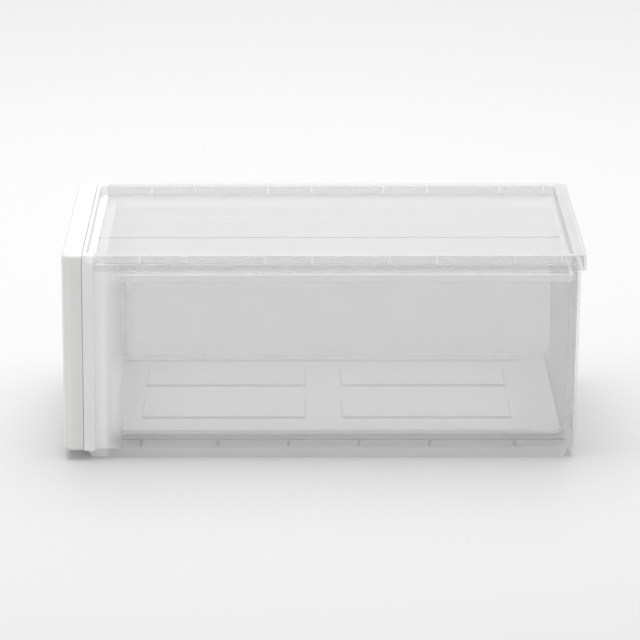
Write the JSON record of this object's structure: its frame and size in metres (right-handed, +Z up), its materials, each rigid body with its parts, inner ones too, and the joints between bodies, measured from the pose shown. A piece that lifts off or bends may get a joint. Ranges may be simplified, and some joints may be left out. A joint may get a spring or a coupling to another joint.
{
  "type": "shoe box",
  "caption": "Stackable pull-out shoe box: translucent case with a clip-on lid, and a drawer with an opaque front panel.",
  "frame": {"origin": "on the ground, under the middle of the closed box", "axes": "+Z up, X across the box, the drawer opens towards -Y"},
  "size_m": [0.23, 0.34, 0.137],
  "materials": {
    "translucent_pp": "frosted translucent moulding",
    "white_pp": "satin opaque moulding"
  },
  "bodies": {
    "case": {"case_shell": "translucent_pp", "front_frame": "translucent_pp", "top_lid": "translucent_pp", "stop_clip_left": "translucent_pp", "stop_clip_right": "translucent_pp"},
    "drawer": {"drawer_tub": "translucent_pp", "front_panel": "white_pp"}
  },
  "joints": [
    {"name": "drawer_slide", "type": "slide", "parent": "case", "child": "drawer", "axis": [0, -1, 0], "range_m": [0, 0.265]}
  ]
}
